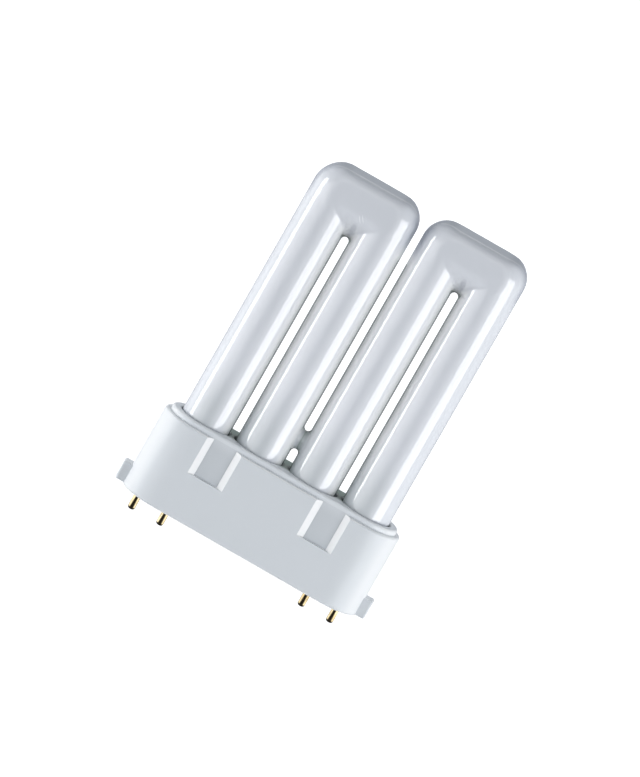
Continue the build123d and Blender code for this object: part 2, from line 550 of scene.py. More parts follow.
    def _painted_crown_shade(self, graph: ShaderGraph, off: Socket, height: Socket, turn: Socket) -> Socket:
        """Marks the painted shade round the heads' corners and crowns, which also stands for thick clear
        glass there, with its fine lines.

        Args:
            graph: The material's graph.
            off: Distance from the middle of the U.
            height: Height on the lamp.
            turn: How far the glass is turned from the front.

        Returns:
            The mask.
        """
        wave = graph.math("SINE", graph.math("MULTIPLY", turn, self.corner_lines))
        lines = graph.math("MULTIPLY_ADD", wave, self.corner_swing, 1.0 - self.corner_swing)
        return graph.all_of(lines, graph.fade_in(off, self.corner_reach),
                            graph.fade_in(height, self.corner_rise), graph.fade_in(turn, self.corner_turn))

    def _neck(self, graph: ShaderGraph, place: Any, across: Socket, turn: Socket) -> tuple[Socket, Socket]:
        """Marks the painted shade of the neck, where greenish glass is pinched together: darker to the right
        and along the pinch line.

        Args:
            graph: The material's graph.
            place: Place on the lamp, by axis.
            across: Distance from the lamp's middle.
            turn: How far the glass is turned from the front.

        Returns:
            The masks of the shaded glass and of the neck's dark lips.
        """
        low, high = self.neck_span
        level = graph.all_of(graph.above(place["Z"], low), graph.below(place["Z"], high))
        shade = graph.all_of(graph.spread(place["X"], *self.neck_shade, (-self.neck_line, self.neck_line)),
                             graph.fade_out(across, (self.neck_line, self.neck_reach)))
        line = graph.spread(across, self.neck_line_share, 0.0, (0.0, self.neck_line))
        lips = graph.all_of(level, graph.below(across, self.lip_reach), graph.fade_in(turn, self.lip_turn))
        return graph.all_of(level, graph.math("ADD", shade, line)), lips

    def _glints_and_hollow_shade(self, graph: ShaderGraph, place: Any, rise: Socket) -> tuple[Socket, Socket]:
        """Marks the painted shade in the hollow above each slot, and the painted glints of pale strokes on
        the left front.

        Args:
            graph: The material's graph.
            place: Place on the lamp, by axis.
            rise: Height above the slot.

        Returns:
            The masks of the strokes and of the smudge.
        """
        middle = graph.math("MULTIPLY", graph.math("SIGN", place["X"]), self.slot_x)
        side = graph.math("SUBTRACT", place["X"], middle)

        def patch(spot: Span, reach: Span) -> Socket:
            """Marks an oval.

            Args:
                spot: Its middle, aside of the slot and above it.
                reach: Its half sizes.

            Returns:
                The mask, which fades towards the oval's edge.
            """
            aside, above = (graph.math("DIVIDE", graph.math("SUBTRACT", value, at), half)
                            for value, at, half in zip((side, rise), spot, reach))
            return graph.fade_out(graph.length(aside, above), self.patch_fade)

        way_x, way_z = self.glint_way
        over = graph.math("MULTIPLY_ADD", side, way_x, graph.math("MULTIPLY", rise, way_z))
        wave = graph.math("SINE", graph.math("MULTIPLY", over, math.tau / self.glint_pitch))
        painted_glints = graph.all_of(graph.below(place["X"], 0.0), graph.below(place["Y"], 0.0),
                               patch(self.glint_spot, self.glint_reach),
                               graph.fade_in(wave, self.glint_edge))
        return painted_glints, graph.all_of(patch(self.hollow_shade_spot, self.hollow_shade_reach), self.hollow_shade_share)

    def _press_marks(self, graph: ShaderGraph, place: Socket, off: Socket, rise: Socket) -> Socket:
        """Builds the faint marks that bending left in the glass above each slot.

        Args:
            graph: The material's graph.
            place: Place on the lamp.
            off: Distance from the middle of the slot.
            rise: Height above the slot.

        Returns:
            The height of the marks.
        """
        grain = graph.noise(graph.stretch(place, self.mark_stretch), self.mark_scale)
        return graph.all_of(grain, graph.fade_out(off, self.mark_reach), graph.fade_in(rise, self.mark_start),
                            graph.fade_out(rise, self.mark_end))


@dataclass(frozen=True)
class MouldedPlastic(Finish):
    """White moulded plastic with a soft gloss. Pairs of numbers are the two ends of a fade."""

    name: str = "moulded_plastic"
    slot: Slot = Slot.PLASTIC
    mottle: Mottle = Mottle((0.74, 0.78, 0.815, 1.0), (0.73, 0.77, 0.805, 1.0),
                            patch_scale=35.0, grain_scale=2600.0, smooth=0.36, rough=0.40)
    grain_height: float = 0.004 * MM
    ior: float = 1.5
    rim_tone: Colour = (0.80, 0.84, 0.875, 1.0)
    rim_line: float = 26.95 * MM
    # Painted shade in the notches' recesses.
    notch_shade_tone: Colour = (0.68, 0.72, 0.755, 1.0)
    floor_reach: float = 10.6 * MM
    floor_fade: Span = (23.5 * MM, 26.9 * MM)
    # Painted highlight on the notches' bevels.
    bevel_highlight_tone: Colour = (0.93, 0.945, 0.955, 1.0)
    bevel_end: float = 28.0 * MM
    bevel_start_turn: Span = (0.08, 0.18)
    bevel_end_turn: Span = (0.4, 0.6)
    # Painted sheen: the plastic is lighter where it turns towards a side.
    side_sheen_tone: Colour = (0.88, 0.905, 0.925, 1.0)
    end_turn: Span = (0.1, 0.42)
    # Painted shade on the holder's top between the legs, strongest towards the back.
    gap_shade_tone: Colour = (0.13, 0.20, 0.17, 1.0)
    gap_floor: float = 28.25 * MM
    gap_front: Span = (-6.5 * MM, -2.0 * MM)
    gap_back: Span = (8.0 * MM, 10.0 * MM)
    # Painted shade in the bores round the legs' feet, darkest in the crescents on the inner legs' outer
    # sides.
    bore_shade_tone: Colour = (0.02, 0.035, 0.03, 1.0)
    bore_span: Span = (8.4 * MM, 8.9 * MM)
    bore_share: float = 0.35
    bore_end: float = 20.0 * MM
    crescent_span: Span = (-7.5 * MM, -4.0 * MM)
    slot_x: float = 18.0 * MM
    leg_offset: float = 9.025 * MM

    def material(self, effects: SharedEffects) -> bpy.types.Material:
        """Builds the plastic.

        Args:
            effects: The shared node groups.

        Returns:
            The material.
        """
        material, graph = new_material(self.name)
        uneven = self.mottle.add(graph, effects)
        where = graph.add("ShaderNodeTexCoord").outputs
        place = graph.axes(where["Object"])
        turn = graph.turned(graph.axes(where["Normal"]))
        across = graph.distance(place["X"])
        notch_shade, bevel_highlights = self._notches(graph, place, across, turn)
        gap_shade, bores = self._feet(graph, place, across)
        # The notch floors, the holder between the legs and the bores get painted shade; the turned sides get
        # a painted sheen and the bevels a painted highlight.
        tone = graph.layers(
            uneven["Color"], (graph.above(place["Z"], self.rim_line), self.rim_tone),
            (notch_shade, self.notch_shade_tone), (graph.fade_in(turn, self.end_turn), self.side_sheen_tone),
            (bevel_highlights, self.bevel_highlight_tone), (gap_shade, self.gap_shade_tone), (bores, self.bore_shade_tone))
        graph.show("ShaderNodeBsdfPrincipled", {
            "Base Color": tone, "Roughness": uneven["Roughness"], "IOR": self.ior,
            "Normal": graph.bump(uneven["Height"], self.grain_height)})
        return material

    def _notches(self, graph: ShaderGraph, place: Any, across: Socket, turn: Socket) -> tuple[Socket, Socket]:
        """Marks the painted shade of the notches' floors and the painted highlight of their bevels.

        Args:
            graph: The material's graph.
            place: Place on the lamp, by axis.
            across: Distance from the lamp's middle.
            turn: How far the plastic is turned from the front.

        Returns:
            The masks of the painted shade and of the painted highlight.
        """
        straight = graph.below(across, self.bevel_end)
        notch_shade = graph.all_of(straight, graph.fade_out(place["Z"], self.floor_fade),
                              graph.below(graph.distance(place["Y"]), self.floor_reach))
        bevel_highlights = graph.all_of(straight, graph.fade_in(turn, self.bevel_start_turn),
                              graph.fade_out(turn, self.bevel_end_turn),
                              graph.below(place["Z"], self.rim_line))
        return notch_shade, bevel_highlights

    def _feet(self, graph: ShaderGraph, place: Any, across: Socket) -> tuple[Socket, Socket]:
        """Marks the painted shade on the top of the holder between the legs, and in the bores round their
        feet.

        Args:
            graph: The material's graph.
            place: Place on the lamp, by axis.
            across: Distance from the lamp's middle.

        Returns:
            The masks of the painted shade between the legs and of the painted shade in the bores.
        """
        gap_shade = graph.all_of(graph.fade_in(place["Y"], self.gap_front),
                            graph.fade_out(place["Y"], self.gap_back),
                            graph.above(place["Z"], self.gap_floor),
                            graph.below(across, self.slot_x + self.leg_offset))
        off_leg = graph.math("SUBTRACT", graph.distance(across, self.slot_x), self.leg_offset)
        crescent = graph.all_of(graph.below(across, self.slot_x), graph.fade_out(off_leg, self.crescent_span))
        bores = graph.all_of(graph.fade_out(graph.length(off_leg, place["Y"]), self.bore_span),
                             graph.above(place["Z"], self.bore_end), graph.any_of(crescent, self.bore_share))
        return gap_shade, bores


@dataclass(frozen=True)
class BasingCement(Finish):
    """Dull grey-white cement with a sandy grain."""

    name: str = "basing_cement"
    slot: Slot = Slot.CEMENT
    mottle: Mottle = Mottle((0.60, 0.60, 0.56, 1.0), (0.45, 0.45, 0.41, 1.0),
                            patch_scale=600.0, grain_scale=2500.0, smooth=0.85, rough=0.98)
    grain_height: float = 0.05 * MM
    gloss: float = 0.2

    def material(self, effects: SharedEffects) -> bpy.types.Material:
        """Builds the cement.

        Args:
            effects: The shared node groups.

        Returns:
            The material.
        """
        material, graph = new_material(self.name)
        uneven = self.mottle.add(graph, effects)
        graph.show("ShaderNodeBsdfPrincipled", {
            "Base Color": uneven["Color"], "Roughness": uneven["Roughness"], "Specular IOR Level": self.gloss,
            "Normal": graph.bump(uneven["Height"], self.grain_height)})
        return material


@dataclass(frozen=True)
class WorkedMetal(Finish):
    """Bare metal with the lines of the tool that shaped it."""

    name: str = "turned_brass"
    slot: Slot = Slot.BRASS
    mottle: Mottle = Mottle((0.86, 0.74, 0.47, 1.0), (0.64, 0.50, 0.27, 1.0),
                            patch_scale=260.0, grain_scale=1500.0, smooth=0.05, rough=0.09)
    stretch: Triple = (1.0, 1.0, 12.0)
    line_scale: float = 900.0
    line_height: float = 0.0005 * MM
    line_rough: float = 0.05

    def material(self, effects: SharedEffects) -> bpy.types.Material:
        """Builds the metal.

        Args:
            effects: The shared node groups.

        Returns:
            The material.
        """
        material, graph = new_material(self.name)
        uneven = self.mottle.add(graph, effects)
        lines = graph.add("ShaderNodeGroup", {"Stretch": self.stretch, "Scale": self.line_scale},
                          node_tree=effects.lines).outputs
        graph.show("ShaderNodeBsdfPrincipled", {
            "Base Color": uneven["Color"], "Metallic": 1.0,
            "Roughness": graph.math("MULTIPLY_ADD", lines["Mask"], self.line_rough, uneven["Roughness"]),
            "Normal": graph.bump(lines["Height"], self.line_height)})
        return material


# Meshes and pieces


class Workshop:
    """Small jobs that every sub-assembly needs."""

    @staticmethod
    def link(name: str, data: Any) -> bpy.types.Object:
        """Makes an object of a mesh, a light or a camera, and links it to the scene.

        Args:
            name: Name of the object.
            data: What it shows.

        Returns:
            The object.
        """
        thing = bpy.data.objects.new(name, data)
        bpy.context.scene.collection.objects.link(thing)
        return thing

    @staticmethod
    def cast(name: str, shape: bmesh.types.BMesh) -> bpy.types.Mesh:
        """Makes a mesh of a shape, and frees the shape.

        Args:
            name: Name of the mesh.
            shape: The finished shape.

        Returns:
            The mesh.
        """
        mesh = bpy.data.meshes.new(name)
        shape.to_mesh(mesh)
        shape.free()
        return mesh

    @staticmethod
    def apply(thing: bpy.types.Object) -> bpy.types.Mesh:
        """Makes a plain mesh of an object with its modifiers."""
        return bpy.data.meshes.new_from_object(thing.evaluated_get(bpy.context.evaluated_depsgraph_get()))

    @staticmethod
    def lathe(name: str, profile: Sequence[Span], segments: int) -> bpy.types.Mesh:
        """Turns a closed outline about Z.

        Args:
            name: Name of the mesh.
            profile: Radius and height of each point, from the lower end of the axis up the outside.
            segments: Points round the axis.

        Returns:
            The turned mesh, with faces outwards.
        """
        shape = bmesh.new()
        turns = [math.tau * i / segments for i in range(segments)]
        rings = [[shape.verts.new((radius * math.cos(turn), radius * math.sin(turn), height))
                  for turn in (turns if radius > 0 else turns[:1])] for radius, height in profile]
        for lower, upper in zip(rings, rings[1:] + rings[:1]):
            if len(lower) == len(upper) == 1:
                continue
            for i in range(segments):
                corners = [lower[i % len(lower)], lower[(i + 1) % len(lower)],
                           upper[(i + 1) % len(upper)], upper[i % len(upper)]]
                shape.faces.new(list(dict.fromkeys(corners)))
        bmesh.ops.recalc_face_normals(shape, faces=shape.faces)
        return Workshop.cast(name, shape)

    @staticmethod
    def fuse(name: str, meshes: Sequence[bpy.types.Mesh]) -> bpy.types.Mesh:
        """Unites closed shells that run into each other.

        Args:
            name: Name of the mesh.
            meshes: The shells.

        Returns:
            One closed shell.
        """
        shells = [Workshop.link(name, mesh) for mesh in meshes]
        for other in shells[1:]:
            union = shells[0].modifiers.new(other.name, "BOOLEAN")
            union.operation, union.solver, union.object = "UNION", "MANIFOLD", other
        fused = Workshop.apply(shells[0])
        for shell in shells:
            bpy.data.objects.remove(shell)
        return fused

    @staticmethod
    def join(name: str, meshes: Sequence[bpy.types.Mesh], material: bpy.types.Material,
             sharp_angle: float) -> bpy.types.Object:
        """Makes one piece of several meshes.

        Args:
            name: Name of the piece.
            meshes: Meshes in the row frame.
            material: Finish of the piece.
            sharp_angle: Edges that turn more than this stay sharp.

        Returns:
            The piece, linked to the scene.
        """
        shape = bmesh.new()
        for mesh in meshes:
            shape.from_mesh(mesh)
        for face in shape.faces:
            face.smooth = True
            face.material_index = 0
        whole = Workshop.cast(name, shape)
        whole.materials.append(material)
        whole.set_sharp_from_angle(angle=sharp_angle)
        return Workshop.link(name, whole)

    @staticmethod
    def mount(piece: bpy.types.Object, slot: Slot, *nodes: str) -> None:
        """Sets a piece in place of its solids.

        Args:
            piece: The finished piece.
            slot: Material slot of its finish. Not used.
            *nodes: Solids that it stands for.
        """
        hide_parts(*nodes)
        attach(piece, BODY)
        LOG.info("%s: %d faces, stands for %s", piece.name, len(piece.data.polygons), ", ".join(nodes))


class GeometryGraph(NodeGraph):
    """A Geometry Nodes tree with named sizes, which ends in Realize Instances and Set Material."""

    MATERIAL = "Material"

    def __init__(self, name: str, takes_mesh: bool = False) -> None:
        """Starts a tree.

        Args:
            name: Name of the tree.
            takes_mesh: Whether it works on the object's own mesh.
        """
        super().__init__(bpy.data.node_groups.new(name, "GeometryNodeTree"))
        self.name = name
        self.identifiers: dict[str, str] = {}
        self.given = self.add("NodeGroupInput")
        self._socket("Geometry", "OUTPUT", "NodeSocketGeometry")
        if takes_mesh:
            self._socket("Geometry", "INPUT", "NodeSocketGeometry")
        self._socket(self.MATERIAL, "INPUT", "NodeSocketMaterial")

    def _socket(self, name: str, side: str, kind: str) -> None:
        """Adds one named socket to the tree's interface.

        Args:
            name: Name of the socket.
            side: INPUT or OUTPUT.
            kind: Blender's name for the socket type.
        """
        socket = self.tree.interface.new_socket(name, in_out=side, socket_type=kind)
        if side == "INPUT":
            self.identifiers[name] = socket.identifier

    def size(self, name: str) -> Field:
        """Adds a named size to the tree's inputs.

        Args:
            name: Name of the input.

        Returns:
            The size.
        """
        self._socket(name, "INPUT", "NodeSocketFloat")
        return Field(self, self.given.outputs[name])

    def math(self, operation: str, *values: Number) -> Field:
        """Adds one Math node.

        Args:
            operation: Blender's name for the operation.
            *values: One or two numbers.

        Returns:
            The result.
        """
        node = self.add("ShaderNodeMath", dict(enumerate(values)), operation=operation)
        return Field(self, node.outputs[0])

    def mix(self, first: Number, second: Number, share: Number) -> Field:
        """Blends two numbers.

        Args:
            first: Result where share is 0.
            second: Result where share is 1.
            share: Share of the second.

        Returns:
            The blend.
        """
        return first + (second - first) * share

    def limit(self, value: Number) -> Field:
        """Keeps a number between 0 and 1."""
        return self.math("MINIMUM", self.math("MAXIMUM", value, 0.0), 1.0)

    def ease(self, value: Number) -> Field:
        """Turns a ramp from 0 to 1 into one with soft ends."""
        ramp = self.limit(value)
        return ramp * ramp * (3.0 - 2.0 * ramp)

    def point(self, x: Number, y: Number, z: Number) -> Socket:
        """Joins three numbers to a vector."""
        return self.add("ShaderNodeCombineXYZ", {"X": x, "Y": y, "Z": z}).outputs[0]

    def index(self) -> Field:
        """Counts the mesh's points from 0."""
        return Field(self, self.add("GeometryNodeInputIndex").outputs[0])

    def line(self, count: int, x: Number, z: Number = 0.0) -> Socket:
        """Adds a line of points and moves each to its place.

        Args:
            count: How many points.
            x: Place of each along X.
            z: Height of each.

        Returns:
            The line's mesh.
        """
        line = self.add("GeometryNodeMeshLine", {"Count": count}).outputs["Mesh"]
        return self.add("GeometryNodeSetPosition", {
            "Geometry": line, "Position": self.point(x, 0.0, z)}).outputs[0]

    def turn(self, geometry: Socket, angle: Number) -> Socket:
        """Turns geometry about Z."""
        return self.add("GeometryNodeTransform", {
            "Geometry": geometry, "Rotation": self.point(0.0, 0.0, angle)}).outputs[0]

    def rows_and_columns(self, rows: int, columns: int) -> tuple[Socket, Field, Field]:
        """Adds a grid of vertices to be wrapped into a surface.

        Args:
            rows: Vertices one way.
            columns: Vertices the other way.

        Returns:
            The grid's mesh, and each vertex's row and column counted from 0.
        """
        grid = self.add("GeometryNodeMeshGrid", {
            "Size X": rows - 1.0, "Size Y": columns - 1.0, "Vertices X": rows, "Vertices Y": columns})
        place = self.axes(self.add("GeometryNodeInputPosition").outputs[0])
        row, column = Field(self, place["X"]), Field(self, place["Y"])
        return grid.outputs["Mesh"], row + (rows - 1) / 2, column + (columns - 1) / 2

    def finish(self, geometry: Socket) -> None:
        """Ends the tree.

        Args:
            geometry: What the tree has made.
        """
        realized = self.add("GeometryNodeRealizeInstances", {"Geometry": geometry})
        painted = self.add("GeometryNodeSetMaterial", {
            "Geometry": realized.outputs[0], "Material": self.given.outputs[self.MATERIAL]})
        self.add("NodeGroupOutput", {"Geometry": painted.outputs[0]})

    def make(self, sizes: dict[str, float], material: bpy.types.Material,
             source: bpy.types.Mesh | None = None) -> bpy.types.Mesh:
        """Runs the tree once.

        Args:
            sizes: Value of each named size.
            material: Finish of the result.
            source: Mesh that the tree works on, where it takes one.

        Returns:
            A plain mesh.
        """
        carrier = Workshop.link(self.name, source or bpy.data.meshes.new(self.name))
        modifier = carrier.modifiers.new(self.name, "NODES")
        modifier.node_group = self.tree
        modifier[self.identifiers[self.MATERIAL]] = material
        for name, value in sizes.items():
            modifier[self.identifiers[name]] = float(value)
        mesh = Workshop.apply(carrier)
        carrier.modifiers.remove(modifier)
        bpy.data.objects.remove(carrier)
        return mesh


# Sub-assemblies


def four(name: str) -> list[str]:
    """Lists the names of four like nodes."""
    return [f"{name}_{number}" for number in range(1, 5)]


@dataclass
class UShape:
    """What differs between the two U tubes."""

    top: float
    web: float
    outer_corner: float
    turn: float


@dataclass
class DischargeTube:
    """Two squared U tubes of coated glass and the neck that joins their inner legs."""

    leg_radius: float = 7.85 * MM
    leg_pitch: float = 18.05 * MM
    slot_radius: float = 1.175 * MM
    valley_rise: float = 10.5 * MM
    valley_fade: float = 3.0
    flattest_bend: float = 0.2
    u_pitch: float = 36.0 * MM
    head_corner: float = 6.8 * MM
    head_edge: float = 3.0 * MM
    crown_share: float = 0.625
    foot: float = 15.0 * MM
    foot_round: float = 5.5 * MM
    seal_foot: float = 11.4 * MM
    seal_top: float = 14.4 * MM
    taper_top: float = 18.9 * MM
    seal_width: float = 13.0 * MM
    seal_thickness: float = 3.2 * MM
    neck_rise: float = 3.15 * MM
    neck_depth: float = 2.2 * MM
    neck_height: float = 37.5 * MM
    neck_pinch: float = 0.05
    neck_root: float = 0.3 * MM
    neck_columns: int = 64
    neck_rings: int = 14
    leg_rings: int = 44
    even_rings: float = 0.3
    bend_rings: int = 96
    columns: int = 96
    weld: float = 0.005 * MM
    tiny: float = 1e-4
    tiniest: float = 1e-5
    sharp_angle: float = math.radians(40)
    shapes: tuple[UShape, UShape] = field(default_factory=lambda: (
        UShape(top=115.7 * MM, web=18.9 * MM, outer_corner=8.0 * MM, turn=0.0),
        UShape(top=116.2 * MM, web=17.6 * MM, outer_corner=6.8 * MM, turn=math.pi),
    ))

    def _bend_tree(self) -> GeometryGraph:
        """Builds the rule of one U: a leg, a squared bend about the slot, and a leg.

        Returns:
            The tree. Its first leg ends in a pinch seal, its second in a round foot.
        """
        graph = GeometryGraph("squared_u_tube")
        radius = graph.size("Leg Radius")
        middle_radius = graph.size("Leg Pitch") / 2.0
        middle_x = graph.size("Middle")
        bend_z = graph.size("Bend Height")
        head = graph.size("Head Top") - bend_z
        outer_corner = graph.size("Outer Corner")
        inner_corner = graph.size("Inner Corner")
        edge = graph.size("Head Edge")
        first_leg = bend_z - graph.size("Seal Foot")
        second_leg = bend_z - graph.size("Foot")
        turn = graph.size("Turn")

        legs, bend = self.leg_rings, self.bend_rings
        last = 2 * legs + bend
        mesh, row, column = graph.rows_and_columns(last + 3, self.columns + 1)
        station = row - 1.0
        angle = graph.limit((station - float(legs)) / float(bend)) * math.pi
        first_rise = self._climb(graph.limit(station / float(legs))) * first_leg
        second_rise = self._climb(graph.limit((float(last) - station) / float(legs))) * second_leg
        closed = graph.math("GREATER_THAN", -0.5, station) + graph.math("GREATER_THAN", station, last + 0.5)

        corner = graph.mix(outer_corner, inner_corner, graph.math("GREATER_THAN", angle, math.pi / 2))
        around = column * (math.tau / self.columns)
        reach = self._section(graph, radius, middle_radius, head, corner, edge, angle, around)
        flat = 1.0 - graph.ease((first_rise - graph.size("Seal Length")) / graph.size("Seal Taper"))
        foot_round = graph.size("Foot Round")
        short = 1.0 - graph.limit(second_rise / foot_round)
        rounding = 1.0 - (foot_round / radius) * (1.0 - graph.math("SQRT", 1.0 - short * short))
        scale = rounding * (1.0 - closed)
        wide = graph.mix(1.0, graph.size("Seal Width") / (2.0 * radius), flat) * scale
        thick = graph.mix(1.0, graph.size("Seal Thickness") / (2.0 * radius), flat) * scale

        out = middle_radius + reach * graph.math("COSINE", around) * wide
        drop = first_leg - first_rise + second_leg - second_rise
        across = graph.math("COSINE", angle) * out
        height = graph.math("SINE", angle) * out - drop
        deep = self._valley(graph, radius, middle_radius, across, height)
        side = reach * graph.math("SINE", around) * thick
        kept = graph.math("SIGN", side) * graph.math("MINIMUM", graph.math("ABSOLUTE", side), deep)
        place = graph.point(middle_x - across, kept, bend_z + height)
        wrapped = graph.add("GeometryNodeSetPosition", {"Geometry": mesh, "Position": place})
        sealed = graph.add("GeometryNodeMergeByDistance", {
            "Geometry": wrapped.outputs[0], "Distance": self.weld})
        graph.finish(graph.turn(sealed.outputs[0], turn))
        return graph

    def _climb(self, share: Field) -> Field:
        """Spaces the rings of a leg, closer towards its foot, as a share of its length."""
        return share * (self.even_rings + (1.0 - self.even_rings) * share)

    def _section(self, graph: GeometryGraph, radius: Field, middle_radius: Field, head: Field, corner: Field,
                 edge: Field, angle: Field, around: Field) -> Field:
        """Builds how far the wall is from the middle of a section of the U.

        Towards the slot a section is round. Away from it, it reaches the squared outline of the head, and
        its corner goes from the leg's full round to the tighter edge along the crown.

        Args:
            graph: The tree to add to.
            radius: Radius of a leg.
            middle_radius: From the axis of the bend to the middle of a section.
            head: Height of the head above the axis of the bend.
            corner: Rounding of the head's outline.
            edge: Rounding along the crown.
            angle: How far round the bend the section is.
            around: How far round the section the vertex is.

        Returns:
            The distance.
        """
        across = graph.math("MAXIMUM", graph.math("ABSOLUTE", graph.math("COSINE", angle)), self.tiny)
        upward = graph.math("MAXIMUM", graph.math("SINE", angle), self.tiny)
        half_width = middle_radius + radius
        corner_x = half_width - corner
        corner_z = head - corner

        square = graph.math("MINIMUM", half_width / across, head / upward)
        in_corner = (graph.math("GREATER_THAN", square * across, corner_x)
                     * graph.math("GREATER_THAN", square * upward, corner_z))
        along = corner_x * across + corner_z * upward
        beyond = along * along - corner_x * corner_x - corner_z * corner_z + corner * corner
        arc = along + graph.math("SQRT", beyond)
        depth = graph.mix(square, arc, in_corner) - middle_radius

        start = graph.math("ARCTAN2", corner_z, half_width)
        crown = graph.ease((graph.math("ARCTAN2", upward, across) - start)
                           / ((math.pi / 2 - start) * self.crown_share))
        steepest = graph.math("COSINE", start)
        round_out = graph.mix(radius / graph.math("MAXIMUM", across, steepest), edge, crown)
        round_side = graph.mix(radius, edge, crown)

        outward = graph.math("COSINE", around)
        sideways = graph.math("MAXIMUM", graph.math("ABSOLUTE", graph.math("SINE", around)), self.tiniest)
        away = graph.math("MAXIMUM", outward, self.tiniest)
        front = radius / sideways
        top = depth / away
        on_front = graph.math("LESS_THAN", front * away, depth - round_out)
        on_top = graph.math("LESS_THAN", top * sideways, radius - round_side)
        flat_out = (depth - round_out) / round_out
        flat_side = (radius - round_side) / round_side
        step_out = away / round_out
        step_side = sideways / round_side
        steps = step_out * step_out + step_side * step_side
        lead = step_out * flat_out + step_side * flat_side
        rest = flat_out * flat_out + flat_side * flat_side - 1.0
        rounded = (lead + graph.math("SQRT", lead * lead - steps * rest)) / steps
        outer = graph.mix(graph.mix(rounded, top, on_top), front, on_front)
        return graph.mix(radius, outer, graph.math("GREATER_THAN", outward, self.tiny))

    def _valley(self, graph: GeometryGraph, radius: Field, middle_radius: Field, across: Field,
                height: Field) -> Field:
        """Builds how deep the glass is between the legs, where they run on above the slot.

        The legs keep their round walls there, and a hollow joins them that opens out with the height.

        Args:
            graph: The tree to add to.
            radius: Radius of a leg.
            middle_radius: From the middle of the slot to the axis of a leg.
            across: Distance from the middle of the slot.
            height: Height above the axis of the bend.

        Returns:
            The most that the surface may stand out to the front or back.
        """
        aside = graph.math("ABSOLUTE", across)
        above = graph.math("MAXIMUM", height - (middle_radius - radius), 0.0)
        share = graph.limit(1.0 - above / graph.size("Valley Rise"))
        tightest = (middle_radius * middle_radius - radius * radius) / (2.0 * radius)
        bent = graph.math("POWER", share, graph.size("Valley Fade")) / tightest
        hollow = 1.0 / graph.math("MAXIMUM", bent, self.flattest_bend)
        span = radius + hollow
        bottom = (graph.math("SQRT", span * span - middle_radius * middle_radius)
                  - graph.math("SQRT", hollow * hollow - aside * aside))
        short = graph.math("MAXIMUM", middle_radius - aside, 0.0)
        wall = graph.math("SQRT", radius * radius - short * short)
        inside = graph.math("LESS_THAN", aside, middle_radius * hollow / span)
        return graph.mix(radius, graph.mix(wall, bottom, inside), graph.math("GREATER_THAN", share, 0.0))

    def _neck(self) -> bpy.types.Mesh:
        """Builds the short neck between the inner legs.

        A hollow flare runs from each leg to the middle, where the two meet in a pinched line.

        Returns:
            The neck as a closed shell that ends just inside both legs.
        """
        leg_x = (self.u_pitch - self.leg_pitch) / 2
        leg, pinch, count = self.leg_radius, self.neck_pinch, self.neck_columns
        turns = np.arange(count) * math.tau / count
        front, rise = np.cos(turns), np.sin(turns)
        neck = 1.0 / np.hypot(front / self.neck_depth, rise / self.neck_rise)
        square = 1.0 - pinch**2 - front**2
        linear = 2.0 * (leg - leg_x * pinch - neck * front**2)
        plain = leg**2 - leg_x**2 - (neck * front)**2
        flare = -2.0 * plain / (linear + np.sqrt(linear**2 - 4.0 * square * plain))
        centre = np.stack([pinch * flare, (neck + flare) * front, (neck + flare) * rise], axis=1)
        inward = -math.sqrt(1.0 - pinch**2)
        to_neck = np.stack([np.full(count, -pinch), inward * front, inward * rise], axis=1)
        axis = np.stack([np.full(count, -leg_x), np.zeros(count), centre[:, 2]], axis=1)
        to_leg = (axis - centre) / (leg + flare)[:, None]
        swing = np.arccos(np.clip((to_neck * to_leg).sum(1), -1.0, 1.0))[:, None]
        rings = [axis + (leg - self.neck_root) * -to_leg]
        for share in np.linspace(0.0, 1.0, self.neck_rings):
            blend = (np.sin((1 - share) * swing) * to_leg + np.sin(share * swing) * to_neck) / np.sin(swing)
            rings.append(centre + flare[:, None] * blend)
        rings += [ring * (-1.0, 1.0, 1.0) for ring in reversed(rings[:-1])]

        shape = bmesh.new()
        lift = Vector((0.0, 0.0, self.neck_height))
        loops = [[shape.verts.new(Vector(spot) + lift) for spot in ring] for ring in rings]
        for left, right in zip(loops, loops[1:]):
            for i in range(count):
                shape.faces.new((left[i], left[(i + 1) % count], right[(i + 1) % count], right[i]))
        for loop, side in ((loops[0], -1.0), (loops[-1], 1.0)):
            pole = shape.verts.new((side * (leg_x - leg + self.neck_root), 0.0, self.neck_height))
            for i in range(count):
                shape.faces.new((pole, loop[i], loop[(i + 1) % count]))
        bmesh.ops.recalc_face_normals(shape, faces=shape.faces)
        return Workshop.cast("neck", shape)

    def build(self, finish: CoatedGlass, effects: SharedEffects) -> None:
        """Makes the glass and sets it in place of its solid.

        Args:
            finish: Finish of the glass.
            effects: The shared node groups.
        """
        material = finish.material(effects)
        tree = self._bend_tree()
        tubes = [tree.make({
            "Leg Radius": self.leg_radius, "Leg Pitch": self.leg_pitch, "Middle": -self.u_pitch / 2,
            "Bend Height": shape.top - shape.web - self.slot_radius, "Head Top": shape.top,
            "Outer Corner": shape.outer_corner, "Inner Corner": self.head_corner, "Head Edge": self.head_edge,
            "Valley Rise": self.valley_rise, "Valley Fade": self.valley_fade, "Seal Foot": self.seal_foot,
            "Foot": self.foot, "Turn": shape.turn, "Seal Length": self.seal_top - self.seal_foot,
            "Seal Taper": self.taper_top - self.seal_top, "Foot Round": self.foot_round,
            "Seal Width": self.seal_width, "Seal Thickness": self.seal_thickness,
        }, material) for shape in self.shapes]
        fused = Workshop.fuse("fused_glass", [*tubes, self._neck()])
        glass = Workshop.join("glass_tubes", [fused], material, self.sharp_angle)
        Workshop.mount(glass, finish.slot, "discharge_tube")


